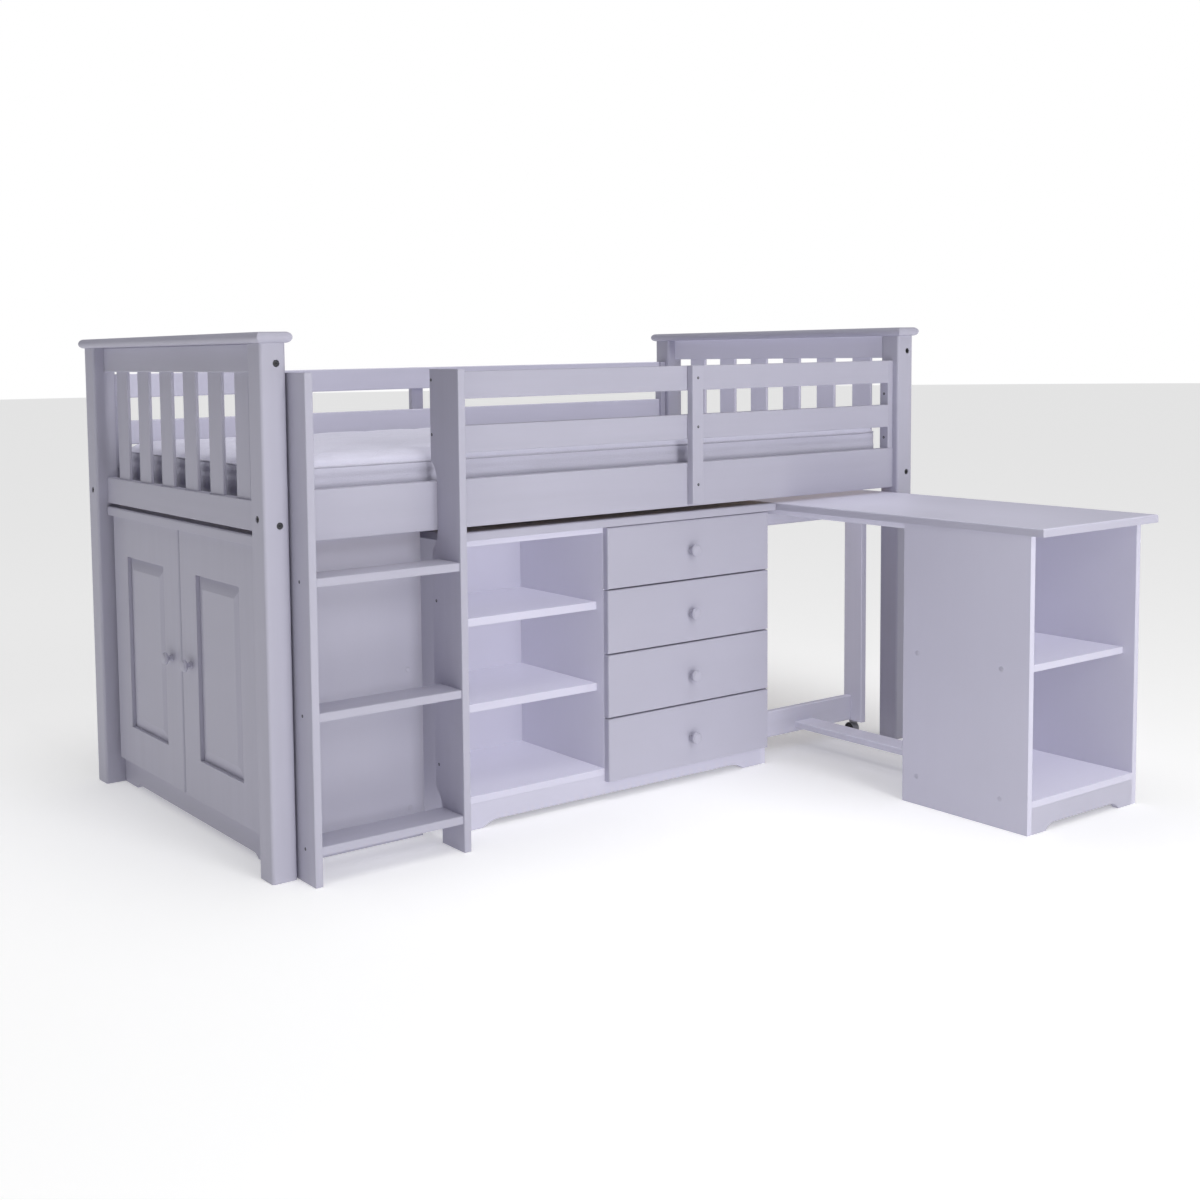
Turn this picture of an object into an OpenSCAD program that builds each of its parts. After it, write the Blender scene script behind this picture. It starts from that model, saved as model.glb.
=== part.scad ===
// Loft bed with a ladder, a two-door cupboard, a bookcase and drawer chest, and a pull-out desk.
// Millimetres. X runs along the bed, +Y is the back, +Z is up, and the floor is z = 0.

/* [Bed frame] */
// Length over the posts
bed_length = 2035; // [2025:5:2045]
// Width over the posts
bed_width = 990; // [988:1:996]
// Side of a square post
post = 60; // [56:1:60]
// Radius on the upright edges of a post
post_round = 7; // [2:1:10]
// Height of the posts under the caps
post_height = 1136; // [1120:1:1150]
// Thickness of the rounded caps
cap_t = 23; // [16:1:28]
// Overhang of the caps all round
cap_over = 11; // [6:1:16]
// Distance of the end rails behind the left faces of their posts
end_recess = 29; // [27:1:31]
// Thickness of the end rails
end_rail_t = 22; // [20:1:24]
// Number of upright slats in each end
end_slats = 6; // [4:1:8]
// Width of an upright end slat
end_slat_w = 67; // [40:1:70]
// Thickness of the side rails
side_t = 22; // [20:1:24]
// Distance of the side rails behind the post faces
side_recess = 18; // [16:1:20]
// Underside of the side rails
side_z = 715; // [713:1:717]
// Depth of the side rails
side_h = 110; // [100:1:120]
// Number of slats under the mattress
base_slats = 14; // [8:1:18]
// Radius on the long edges of the solid wood boards
ease = 2.5; // [1:0.5:4]

/* [Mattress] */
// Length of the mattress
mattress_l = 1920; // [1900:5:1922]
// Width of the mattress
mattress_w = 900; // [880:1:905]
// Thickness of the mattress
mattress_t = 138; // [110:1:160]
// Corner radius of the mattress
mattress_round = 42; // [40:1:60]
// How far the mattress lies toward the right end
mattress_shift = 5; // [-5:1:5]

/* [Guard rails and ladder] */
// Underside of the lower guard boards
guard_low_z = 884; // [870:1:890]
// Height of a guard board
guard_h = 62; // [50:1:66]
// Underside of the upper guard boards
guard_high_z = 1006; // [1000:1:1010]
// Thickness of the guard boards
guard_t = 20; // [16:1:22]
// Thickness of a ladder stile
stile_t = 19; // [17:1:21]
// Near face of the left ladder stile
stile_x = 64; // [62:1:68]
// Near face of the right ladder stile
stile_x2 = 443; // [430:1:450]
// Depth of the ladder in front of the posts
stile_out = 70; // [60:1:80]
// Thickness of the treads
tread_t = 19; // [16:1:24]

/* [Cupboard] */
// Top face of the cupboard
cup_top_z = 728; // [722:1:730]
// Depth of the cupboard from its doors to its back
cup_depth = 408; // [380:1:415]
// Gap round the doors
door_gap = 3; // [1:0.5:4]

/* [Bookcase and drawers] */
// Top face of the chest and of the desk
top_z = 701; // [690:1:704]
// Depth of the chest carcass
chest_d = 341; // [330:1:360]
// Gap between the drawer fronts
front_gap = 3; // [2:0.5:5]
// Diameter of the knobs
knob_d = 30; // [22:1:34]

/* [Desk] */
// How far the desk front stands ahead of the bed posts
desk_out = 762; // [740:1:780]
// Depth of the pedestal under the desk
pedestal_d = 346; // [320:1:360]
// Height of the castors
castor_h = 37; // [36:1:40]

/* [Hidden] */
$fn = 48;
e = 0.2;
end_slat_t = 9;
top_rail_z = post_height - 61;
low_rail_z = 737;
low_rail_h = 66;
inner_x0 = post;
inner_x1 = bed_length - post;
back_y = bed_width - side_recess;
ledge_z = side_z + 2;
ledge_s = 22;
slat_z = ledge_z + ledge_s;
slat_t = 16;
mattress_z = slat_z + slat_t;
guard_top = guard_high_z + guard_h;
stile_top = 1074;
stile_back = 43;
notch_r = 56;
treads_z = [650 - tread_t, 367 - tread_t, 83 - tread_t];
bolt_d = 6;
bolt_in = 37;
bolt_side = 30;
bolt_high = 1094;
bolt_low = 757;
bolt_mid = 771;
bolt_reach = 40;
head_d = 14;
head_t = 4;
head_sink = 1.5;
pocket_d = 15.4;

cup_x0 = 34;
cup_y0 = 90;
cup_y1 = 929;
board = 18;
door_t = 18;
door_z0 = 71;
door_z1 = 704;
door_mid = (cup_y0 + cup_y1) / 2;
door_y0 = cup_y0 + 14;
door_y1 = cup_y1 - 14;
door_w = door_mid - door_gap / 2 - door_y0;
door_h = door_z1 - door_z0;
door_stile = 90;
door_rail = 97;
door_round = 6;
field_t = 8;
cup_x1 = cup_x0 + cup_depth;

chest_x0 = 497;
chest_x1 = 1508;
chest_y0 = 50;
chest_y1 = chest_y0 + chest_d;
divider_x = 949;
chest_top_x = 1524;
top_t = 20;
back_t = 5;
floor_z = 62;
floor_t = 17;
fronts_z = [47, 206.5, 365.5, 525.5, 680.5];
front_t = 18;
box_side = 12;
box_h = 100;
box_d = 310;
knobs_z = [120, 280, 440, 602];

desk_x0 = 1526;
desk_x1 = 1973;
desk_y0 = -desk_out;
desk_y1 = 165;
desk_t = 19;
ped_x0 = 1529;
ped_x1 = 1954;
ped_y0 = desk_y0 + 32;
ped_y1 = ped_y0 + pedestal_d;
ped_t = 16;
leg_t = 20;
leg_y0 = 89;
leg_y1 = 152;
rear_y = 126;
wheel_r = 14;
wheel_w = 8;
castor_y = 121;
castor_trail = 9;

origin_x = bed_length / 2;
origin_y = (bed_width + cap_over - desk_out) / 2;

// A box from one corner to the opposite one.
module block(a, b) {
    translate(a) cube(b - a);
}

// Everything is drawn from the front left corner of the bed, then moved to its origin.
module placed() {
    translate([-origin_x, -origin_y, 0]) children();
}

// A flat outline with true round corners.
module soft_square(w, d, r) {
    translate([r, 0]) square([w - 2 * r, d]);
    translate([0, r]) square([w, d - 2 * r]);
    for (x = [r, w - r], y = [r, d - r]) translate([x, y]) circle(r);
}

// A box from one corner to the opposite one whose four longest edges are rounded.
module eased(a, b, r = ease) {
    s = b - a;
    translate(a)
        if (s[0] >= s[1] && s[0] >= s[2]) rotate([90, 0, 90]) linear_extrude(s[0]) soft_square(s[1], s[2], r);
        else if (s[1] >= s[2]) translate([0, s[1], 0]) rotate([90, 0, 0])
            linear_extrude(s[1]) soft_square(s[0], s[2], r);
        else linear_extrude(s[2]) soft_square(s[0], s[1], r);
}

// A long flat outline with half-round ends.
module stadium(w, t) {
    translate([t / 2, 0]) square([w - t, t]);
    for (x = [t / 2, w - t / 2]) translate([x, t / 2]) circle(t / 2);
}

// A board with a half-round edge on all four sides, mitred at the corners.
module bullnose_board(w, d, t) {
    intersection() {
        translate([0, d, 0]) rotate([90, 0, 0]) linear_extrude(d) stadium(w, t);
        rotate([90, 0, 90]) linear_extrude(w) stadium(d, t);
    }
}

// Bolt axis helpers: one hole along Y and one along X.
module bore_y(x, y, z, l, d) {
    translate([x, y, z]) rotate([-90, 0, 0]) cylinder(d = d, h = l);
}
module bore_x(x, y, z, l, d) {
    translate([x, y, z]) rotate([0, 90, 0]) cylinder(d = d, h = l);
}

module one_post(x, y) {
    front = y < bed_width / 2;
    left = x < bed_length / 2;
    side_y = front ? bolt_side : bed_width - bolt_side;
    pocket = head_sink + head_t;
    difference() {
        translate([x, y, 0]) linear_extrude(post_height) soft_square(post, post, post_round);
        for (z = [bolt_low, bolt_high]) {
            bore_y(x + bolt_in, y - 1, z, post + 2, bolt_d + 1);
            bore_y(x + bolt_in, front ? y - 1 : y + post - pocket, z, pocket + 1, pocket_d);
        }
        bore_x(x - 1, side_y, bolt_mid, post + 2, bolt_d + 1);
        bore_x(left ? x - 1 : x + post - pocket, side_y, bolt_mid, pocket + 1, pocket_d);
    }
}

module posts(x) {
    placed() color([0.73, 0.72, 0.8]) {
        one_post(x, 0);
        one_post(x, bed_width - post);
    }
}
module posts_left() {
    posts(0);
}
module posts_right() {
    posts(inner_x1);
}

module cap(x) {
    placed() color([0.74, 0.73, 0.81]) translate([x - cap_over, -cap_over, post_height])
        bullnose_board(post + 2 * cap_over, bed_width + 2 * cap_over, cap_t);
}
module cap_left() {
    cap(0);
}
module cap_right() {
    cap(inner_x1);
}

// One cross rail of an end, bored at both ends for a bolt and its barrel nut.
module end_rail(x, z, h, bolt_z) {
    difference() {
        eased([x + end_recess, post, z], [x + end_recess + end_rail_t, bed_width - post, z + h]);
        for (y = [post - 1, bed_width - post - bolt_reach])
            bore_y(x + bolt_in, y, bolt_z, bolt_reach + 1, bolt_d + 1);
        for (y = [post + 28, bed_width - post - 28])
            bore_x(x + end_recess + 2, y, bolt_z, end_rail_t, 10);
    }
}
module end_rails(x) {
    placed() color([0.72, 0.71, 0.79]) {
        end_rail(x, top_rail_z, post_height - top_rail_z, bolt_high);
        end_rail(x, low_rail_z, low_rail_h, bolt_low);
    }
}
module end_rails_left() {
    end_rails(0);
}
module end_rails_right() {
    end_rails(inner_x1);
}

module slats_of_end(x) {
    span = bed_width - 2 * post;
    gap = (span - end_slats * end_slat_w) / (end_slats + 1);
    sx = x + end_recess + (end_rail_t - end_slat_t) / 2;
    placed() color([0.74, 0.73, 0.8]) for (i = [0 : end_slats - 1]) {
        y = post + gap + i * (end_slat_w + gap);
        eased([sx, y, low_rail_z + low_rail_h], [sx + end_slat_t, y + end_slat_w, top_rail_z]);
    }
}
module end_slats_left() {
    slats_of_end(0);
}
module end_slats_right() {
    slats_of_end(inner_x1);
}

// A long side rail, bored at both ends for a bolt and its barrel nut.
module side_rail(y, side_y, nut_y) {
    placed() color([0.73, 0.72, 0.8]) difference() {
        eased([inner_x0, y, side_z], [inner_x1, y + side_t, side_z + side_h]);
        for (x = [inner_x0 - 1, inner_x1 - bolt_reach]) bore_x(x, side_y, bolt_mid, bolt_reach + 1, bolt_d + 1);
        for (x = [inner_x0 + 28, inner_x1 - 28]) bore_y(x, nut_y, bolt_mid, side_t, 10);
    }
}
module side_rail_front() {
    side_rail(side_recess, bolt_side, side_recess + 2);
}
module side_rail_back() {
    side_rail(back_y - side_t, bed_width - bolt_side, back_y - side_t - 2);
}

module slat_ledges() {
    f = side_recess + side_t;
    placed() color([0.8, 0.7, 0.52]) {
        block([inner_x0 + 10, f, ledge_z], [inner_x1 - 10, f + ledge_s, slat_z]);
        block([inner_x0 + 10, bed_width - f - ledge_s, ledge_z], [inner_x1 - 10, bed_width - f, slat_z]);
    }
}

module bed_slats() {
    w = 70;
    first = inner_x0 + 20;
    step = (inner_x1 - inner_x0 - 40 - w) / (base_slats - 1);
    f = side_recess + side_t + 2;
    placed() color([0.85, 0.74, 0.55]) for (i = [0 : base_slats - 1])
        eased([first + i * step, f, slat_z], [first + i * step + w, bed_width - f, mattress_z]);
}

// Two guard boards, one above the other.
module guard_pair(x0, x1, y) {
    for (z = [guard_low_z, guard_high_z]) eased([x0, y, z], [x1, y + guard_t, z + guard_h]);
}
module guard_boards_front() {
    placed() color([0.74, 0.73, 0.81]) guard_pair(stile_x2 + stile_t, inner_x1 - 20, side_recess);
}
module guard_boards_back() {
    placed() color([0.73, 0.72, 0.8]) guard_pair(inner_x0 + 20, inner_x1 - 20, back_y - guard_t);
}

module guard_uprights() {
    mid_front = (stile_x2 + stile_t + inner_x1) / 2;
    mid_back = bed_length / 2;
    rail_top = side_z + side_h;
    placed() color([0.74, 0.73, 0.81]) {
        eased([mid_front - 19, side_recess - 20, side_z + 6], [mid_front + 18, side_recess, guard_top]);
        eased([mid_back - 20, back_y, side_z + 6], [mid_back + 20, back_y + 18, guard_top]);
        eased([inner_x1 - 20, side_recess, rail_top], [inner_x1, side_recess + 29, guard_top]);
        for (x = [inner_x0, inner_x1 - 20])
            eased([x, back_y - 29, rail_top], [x + 20, back_y, guard_top]);
    }
}

module mattress() {
    x = (bed_length - mattress_l) / 2 + mattress_shift;
    y = (bed_width - mattress_w) / 2;
    placed() color([0.95, 0.95, 0.95]) translate([x, y, mattress_z])
        linear_extrude(mattress_t) soft_square(mattress_l, mattress_w, mattress_round);
}

// The ladder stile is cut back round the side rail and at its foot, each cut ending in a curve.
module stile_outline() {
    difference() {
        translate([-stile_out, 0]) square([stile_out + stile_back, stile_top]);
        translate([side_recess, side_z]) square([60, side_h]);
        translate([side_recess, -1]) square([60, 81]);
        for (z = [80, side_z, side_z + side_h]) translate([side_recess + notch_r, z]) circle(notch_r, $fn = 96);
    }
}
module stile(x) {
    placed() color([0.73, 0.72, 0.8]) intersection() {
        translate([x, 0, 0]) rotate([90, 0, 90]) linear_extrude(stile_t) stile_outline();
        eased([x, -stile_out, 0], [x + stile_t, stile_back, stile_top]);
    }
}
module ladder_stile_left() {
    stile(stile_x);
}
module ladder_stile_right() {
    stile(stile_x2);
}
module ladder_treads() {
    placed() color([0.75, 0.74, 0.82]) for (z = treads_z)
        eased([stile_x + stile_t, 4 - stile_out, z], [stile_x2, side_recess, z + tread_t]);
}

// A bolt along +X whose socket head lies just under the surface at the origin.
module bolt(l) {
    rotate([0, 90, 0]) difference() {
        union() {
            translate([0, 0, head_sink]) cylinder(d = head_d, h = head_t);
            cylinder(d = bolt_d, h = l);
        }
        translate([0, 0, -1]) cylinder(d = bolt_d + 2, h = head_sink + 1);
        translate([0, 0, head_sink - 1]) cylinder(d = 5, h = head_t);
    }
}
module frame_bolts() {
    l = post + 34;
    placed() color([0.25, 0.25, 0.27]) {
        for (x = [0, inner_x1], z = [bolt_low, bolt_high]) {
            translate([x + bolt_in, 0, z]) rotate([0, 0, 90]) bolt(l);
            translate([x + bolt_in, bed_width, z]) rotate([0, 0, -90]) bolt(l);
        }
        for (y = [bolt_side, bed_width - bolt_side]) {
            translate([0, y, bolt_mid]) bolt(l);
            translate([bed_length, y, bolt_mid]) rotate([0, 0, 180]) bolt(l);
        }
    }
}

// Cross dowels that the frame bolts screw into.
module barrel_nuts() {
    placed() color([0.6, 0.6, 0.62]) {
        for (x = [0, inner_x1], z = [bolt_low, bolt_high], y = [post + 28, bed_width - post - 28]) difference() {
            bore_x(x + end_recess + 2.2, y, z, end_rail_t - 3, 9.8);
            bore_y(x + bolt_in, y - 8, z, 16, bolt_d + 0.2);
        }
        for (x = [inner_x0 + 28, inner_x1 - 28]) {
            difference() {
                bore_y(x, side_recess + 2.2, bolt_mid, side_t - 3, 9.8);
                bore_x(x - 8, bolt_side, bolt_mid, 16, bolt_d + 0.2);
            }
            difference() {
                bore_y(x, back_y - side_t + 0.8, bolt_mid, side_t - 3, 9.8);
                bore_x(x - 8, bed_width - bolt_side, bolt_mid, 16, bolt_d + 0.2);
            }
        }
    }
}

// The part removed from a plinth between its feet: flat on top, curved at both ends.
module arch(x0, x1, h, run) {
    r = (run * run + h * h) / (2 * h);
    translate([x0 + run, -1]) square([x1 - x0 - 2 * run, h + 1]);
    for (x = [x0 + run, x1 - run]) translate([x, h - r]) circle(r, $fn = 96);
}
module plinth_outline(w, h, foot, rise, run) {
    difference() {
        square([w, h]);
        arch(foot, w - foot, rise, run);
    }
}

module cupboard_top() {
    placed() color([0.74, 0.73, 0.81]) translate([cup_x0 - 9, cup_y0 - 8, cup_top_z - 22])
        bullnose_cut(cup_x1 + 8 - cup_x0 + 9, cup_y1 - cup_y0 + 5, 22);
}
// A top board with small round edges on its upper side.
module bullnose_cut(w, d, t) {
    r = 4;
    intersection() {
        translate([0, d, 0]) rotate([90, 0, 0]) linear_extrude(d) edge_outline(w, t, r);
        rotate([90, 0, 90]) linear_extrude(w) edge_outline(d, t, r);
    }
}
module edge_outline(w, t, r) {
    square([w, t - r]);
    translate([r, 0]) square([w - 2 * r, t]);
    for (x = [r, w - r]) translate([x, t - r]) circle(r);
}

module cupboard_sides() {
    x0 = cup_x0 + door_t + 0.5;
    placed() color([0.72, 0.71, 0.79]) for (y = [cup_y0, cup_y1 - board])
        block([x0, y, 0], [cup_x1 - back_t, y + board, cup_top_z - 22]);
}
module cupboard_back() {
    placed() color([0.7, 0.69, 0.76])
        block([cup_x1 - back_t, cup_y0, 40], [cup_x1, cup_y1, cup_top_z - 22]);
}
module cupboard_shelves() {
    x0 = cup_x0 + door_t + 0.5;
    placed() color([0.72, 0.71, 0.79]) {
        block([x0, cup_y0 + board, floor_z], [cup_x1 - back_t, cup_y1 - board, floor_z + floor_t]);
        block([x0 + 24, cup_y0 + board, 384], [cup_x1 - back_t, cup_y1 - board, 384 + ped_t]);
    }
}
module cupboard_plinth() {
    x0 = cup_x0 + door_t + 0.5;
    w = cup_y1 - cup_y0 - 2 * board;
    placed() color([0.72, 0.71, 0.79]) translate([x0, cup_y0 + board, 0])
        rotate([90, 0, 90]) linear_extrude(board) plinth_outline(w, floor_z, 60, 10.5, 24);
}

// Places a door at its low Y edge: the door lies in the YZ plane with its show face at -X.
module door_at(y) {
    placed() translate([cup_x0, y, door_z0]) children();
}
// The outline of a door seen from above, its two front edges rounded.
module door_plan() {
    r = door_round;
    translate([r, 0]) square([door_t - r, door_w]);
    translate([0, r]) square([r + 1, door_w - 2 * r]);
    for (y = [r, door_w - r]) translate([r, y]) circle(r);
}
// Frame with a rebate behind for the panel and two pockets for the hinge cups.
module door_frame(cup_y) {
    r = 8;
    difference() {
        linear_extrude(door_h) door_plan();
        block([-1, door_stile, door_rail], [door_t + 1, door_w - door_stile, door_h - door_rail]);
        block([door_t - field_t, door_stile - r, door_rail - r],
            [door_t + 1, door_w - door_stile + r, door_h - door_rail + r]);
        for (z = [90, door_h - 90]) bore_x(door_t - 10, cup_y, z, 11, 26.4);
    }
}
// Panel: a plate that fills the rebate and a raised field with sloping margins.
module door_panel() {
    w = door_w - 2 * door_stile;
    h = door_h - 2 * door_rail;
    slope = 28;
    rise = 8;
    groove = 3;
    block([door_t - field_t + e, door_stile - 8 + e, door_rail - 8 + e],
        [door_t - e, door_w - door_stile + 8 - e, door_h - door_rail + 8 - e]);
    translate([door_t - field_t + 2 * e, door_stile + groove, door_rail + groove])
        raised_field(w - 2 * groove, h - 2 * groove, rise, slope);
}
// A block w by h that rises by t toward -X, its four margins sloping over a width s.
module raised_field(w, h, t, s) {
    a = atan(s / t);
    l = 4 * s;
    difference() {
        translate([-t, 0, 0]) cube([t, w, h]);
        translate([0, 0, -1]) rotate([0, 0, -a]) translate([-l, -l, 0]) cube([l, l, h + 2]);
        translate([0, w, -1]) rotate([0, 0, a]) translate([-l, 0, 0]) cube([l, l, h + 2]);
        translate([0, -1, 0]) rotate([0, a, 0]) translate([-l, 0, -l]) cube([l, w + 2, l]);
        translate([0, -1, h]) rotate([0, -a, 0]) translate([-l, 0, 0]) cube([l, w + 2, l]);
    }
}
// A turned knob that points along -X from the origin.
module knob() {
    r = knob_d / 2;
    rotate([0, -90, 0]) rotate_extrude() {
        square([8, 4]);
        square([6, 16]);
        translate([0, 14]) square([r - 4, 8]);
        translate([r - 4, 18]) circle(4);
        intersection() {
            translate([0, 22 + 3 - 40]) circle(40, $fn = 96);
            translate([0, 20]) square([r - 3, 8]);
        }
    }
}
module door_front_frame() {
    color([0.7, 0.69, 0.77]) door_at(door_y0) door_frame(24);
}
module door_front_panel() {
    color([0.71, 0.7, 0.78]) door_at(door_y0) door_panel();
}
module door_front_knob() {
    color([0.72, 0.71, 0.79]) door_at(door_y0) translate([0, door_w - 53, 319]) knob();
}
module door_back_frame() {
    color([0.7, 0.69, 0.77]) door_at(door_mid + door_gap / 2) door_frame(door_w - 24);
}
module door_back_panel() {
    color([0.71, 0.7, 0.78]) door_at(door_mid + door_gap / 2) door_panel();
}
module door_back_knob() {
    color([0.72, 0.71, 0.79]) door_at(door_mid + door_gap / 2) translate([0, 53, 319]) knob();
}

// Concealed hinges: an arm on the cupboard side and a cup let into the door.
module hinge_arms() {
    x0 = cup_x0 + door_t + 1;
    placed() color([0.62, 0.62, 0.65]) for (z = [door_z0 + 90, door_z1 - 90]) {
        block([x0, cup_y0 + board, z - 8], [x0 + 60, cup_y0 + board + 12, z + 8]);
        block([x0, cup_y1 - board - 12, z - 8], [x0 + 60, cup_y1 - board, z + 8]);
    }
}
module hinge_cups(cup_y) {
    for (z = [90, door_h - 90]) bore_x(door_t - 10, cup_y, z, 10, 26);
}
module hinge_cups_front() {
    color([0.62, 0.62, 0.65]) door_at(door_y0) hinge_cups(24);
}
module hinge_cups_back() {
    color([0.62, 0.62, 0.65]) door_at(door_mid + door_gap / 2) hinge_cups(door_w - 24);
}

module chest_top() {
    placed() color([0.75, 0.74, 0.82]) translate([chest_x0 - 8, chest_y0 - 22, top_z - top_t])
        bullnose_cut(chest_top_x - chest_x0 + 8, chest_d + 26, top_t);
}
module chest_uprights() {
    z1 = top_z - top_t;
    placed() color([0.72, 0.71, 0.79]) {
        for (x = [chest_x0, chest_x1 - board]) block([x, chest_y0, 0], [x + board, chest_y1 - back_t, z1]);
        block([divider_x, chest_y0, floor_z + floor_t], [divider_x + board, chest_y1 - back_t, z1]);
    }
}
module chest_back() {
    placed() color([0.72, 0.71, 0.78])
        block([chest_x0, chest_y1 - back_t, 40], [chest_x1, chest_y1, top_z - top_t]);
}
module chest_shelves() {
    yb = chest_y1 - back_t;
    zt = top_z - top_t;
    placed() color([0.73, 0.72, 0.8]) {
        block([chest_x0 + board, chest_y0, floor_z], [chest_x1 - board, yb, floor_z + floor_t]);
        for (z = [270, 473]) block([chest_x0 + board, chest_y0 + 27, z], [divider_x, yb, z + 19]);
        block([chest_x0 + board, chest_y0, zt - 16], [divider_x, yb, zt]);
        block([divider_x + board, chest_y0, zt - 16], [chest_x1 - board, yb, zt]);
    }
}
module chest_plinth() {
    w = chest_x1 - chest_x0 - 2 * board;
    placed() color([0.73, 0.72, 0.8]) translate([chest_x0 + board, chest_y0 + board, 0])
        rotate([90, 0, 0]) linear_extrude(board) plinth_outline(w, floor_z, 64, 15, 49);
}

// Height of the base of a drawer box above the floor.
function box_z(i) = i == 0 ? 96 : fronts_z[i] + 30;
module drawer_runners() {
    placed() color([0.8, 0.7, 0.52]) for (i = [0 : 3], x = [divider_x + board, chest_x1 - board - 24])
        block([x, chest_y0 + 12, box_z(i) - 12.4], [x + 24, chest_y0 + 12 + box_d, box_z(i) - e]);
}
module drawer_front(i) {
    z0 = fronts_z[i] + (i == 0 ? 0 : front_gap / 2);
    z1 = fronts_z[i + 1] - front_gap / 2;
    x0 = divider_x + 0.5;
    x1 = chest_x1 - 7.5;
    placed() color([0.75, 0.74, 0.82]) {
        translate([x0, chest_y0 - e, z0]) rotate([90, 0, 0]) bullnose_cut(x1 - x0, z1 - z0, front_t);
        translate([(x0 + x1) / 2, chest_y0 - front_t - 2 * e, knobs_z[i]]) rotate([0, 0, 90]) knob();
    }
}
// A drawer box behind its front.
module drawer_box(i) {
    x0 = divider_x + board + 12.5;
    x1 = chest_x1 - board - 12.5;
    z0 = box_z(i);
    y0 = chest_y0 + 0.2;
    y1 = y0 + box_d;
    placed() color([0.86, 0.78, 0.62]) {
        for (x = [x0, x1 - box_side]) block([x, y0, z0], [x + box_side, y1, z0 + box_h]);
        block([x0 + box_side + e, y0, z0 + 6], [x1 - box_side - e, y0 + box_side, z0 + box_h]);
        block([x0 + box_side + e, y1 - box_side, z0 + 6], [x1 - box_side - e, y1, z0 + box_h]);
        block([x0 + box_side + e, y0, z0], [x1 - box_side - e, y1, z0 + 5.8]);
    }
}
module drawer_1_front() {
    drawer_front(3);
}
module drawer_1_box() {
    drawer_box(3);
}
module drawer_2_front() {
    drawer_front(2);
}
module drawer_2_box() {
    drawer_box(2);
}
module drawer_3_front() {
    drawer_front(1);
}
module drawer_3_box() {
    drawer_box(1);
}
module drawer_4_front() {
    drawer_front(0);
}
module drawer_4_box() {
    drawer_box(0);
}

module desk_top() {
    placed() color([0.76, 0.75, 0.83]) translate([desk_x0, desk_y0, top_z - desk_t])
        bullnose_cut(desk_x1 - desk_x0, desk_y1 - desk_y0, desk_t);
}
module pedestal_sides() {
    placed() color([0.7, 0.69, 0.77]) for (x = [ped_x0, ped_x1 - ped_t])
        block([x, ped_y0, 0], [x + ped_t, ped_y1, top_z - desk_t]);
}
module pedestal_back() {
    placed() color([0.73, 0.72, 0.8])
        block([ped_x0 + ped_t, ped_y1 - 12, 40], [ped_x1 - ped_t, ped_y1, top_z - desk_t]);
}
module pedestal_shelves() {
    placed() color([0.74, 0.73, 0.81]) {
        block([ped_x0 + ped_t, ped_y0, 61], [ped_x1 - ped_t, ped_y1 - 12, 77]);
        block([ped_x0 + ped_t, ped_y0 + 30, 363], [ped_x1 - ped_t, ped_y1 - 12, 379]);
    }
}
module pedestal_plinth() {
    w = ped_x1 - ped_x0 - 2 * ped_t;
    placed() color([0.74, 0.73, 0.81]) translate([ped_x0 + ped_t, ped_y0 + ped_t, 0])
        rotate([90, 0, 0]) linear_extrude(ped_t) plinth_outline(w, 61, 54, 16, 30);
}
module desk_legs() {
    placed() color([0.7, 0.69, 0.77]) for (x = [ped_x0, ped_x1 - leg_t])
        eased([x, leg_y0, castor_h], [x + leg_t, leg_y1, top_z - desk_t]);
}
module desk_rails() {
    x0 = ped_x0 + leg_t;
    x1 = ped_x1 - leg_t;
    zt = top_z - desk_t;
    mid = (ped_x0 + ped_x1) / 2;
    placed() color([0.73, 0.72, 0.8]) {
        eased([x0, rear_y, castor_h + 2], [x1, rear_y + 20, castor_h + 73]);
        eased([x0, rear_y, zt - 56], [x1, rear_y + 20, zt]);
        eased([mid - 35, ped_y1, 50], [mid + 35, rear_y - e, 68]);
        for (x = [ped_x0, ped_x1 - 18]) block([x, ped_y1, zt - 13], [x + 18, leg_y0 - e, zt]);
    }
}

// Castor: a plate that turns under the leg, a stem block between two wheels, and an axle.
module castor_fork(x) {
    placed() color([0.6, 0.6, 0.62]) translate([x, castor_y, 0]) {
        translate([0, 0, castor_h - 3.4]) cylinder(d = 30, h = 3.2);
        translate([-3, -6, wheel_r - 4]) cube([6, 12 + castor_trail, castor_h - wheel_r - 3.4 + 4]);
        translate([0, castor_trail, wheel_r]) rotate([0, 90, 0]) cylinder(d = 5, h = 24, center = true);
    }
}
module castor_wheels(x) {
    placed() color([0.1, 0.1, 0.1]) for (s = [-1, 1])
        translate([x + s * 8, castor_y + castor_trail, wheel_r]) rotate([0, 90, 0]) difference() {
            cylinder(r = wheel_r, h = wheel_w, center = true);
            cylinder(d = 5.1, h = wheel_w + 2, center = true);
        }
}
module castor_left_fork() {
    castor_fork(ped_x0 + leg_t / 2);
}
module castor_left_wheels() {
    castor_wheels(ped_x0 + leg_t / 2);
}
module castor_right_fork() {
    castor_fork(ped_x1 - leg_t / 2);
}
module castor_right_wheels() {
    castor_wheels(ped_x1 - leg_t / 2);
}

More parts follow.
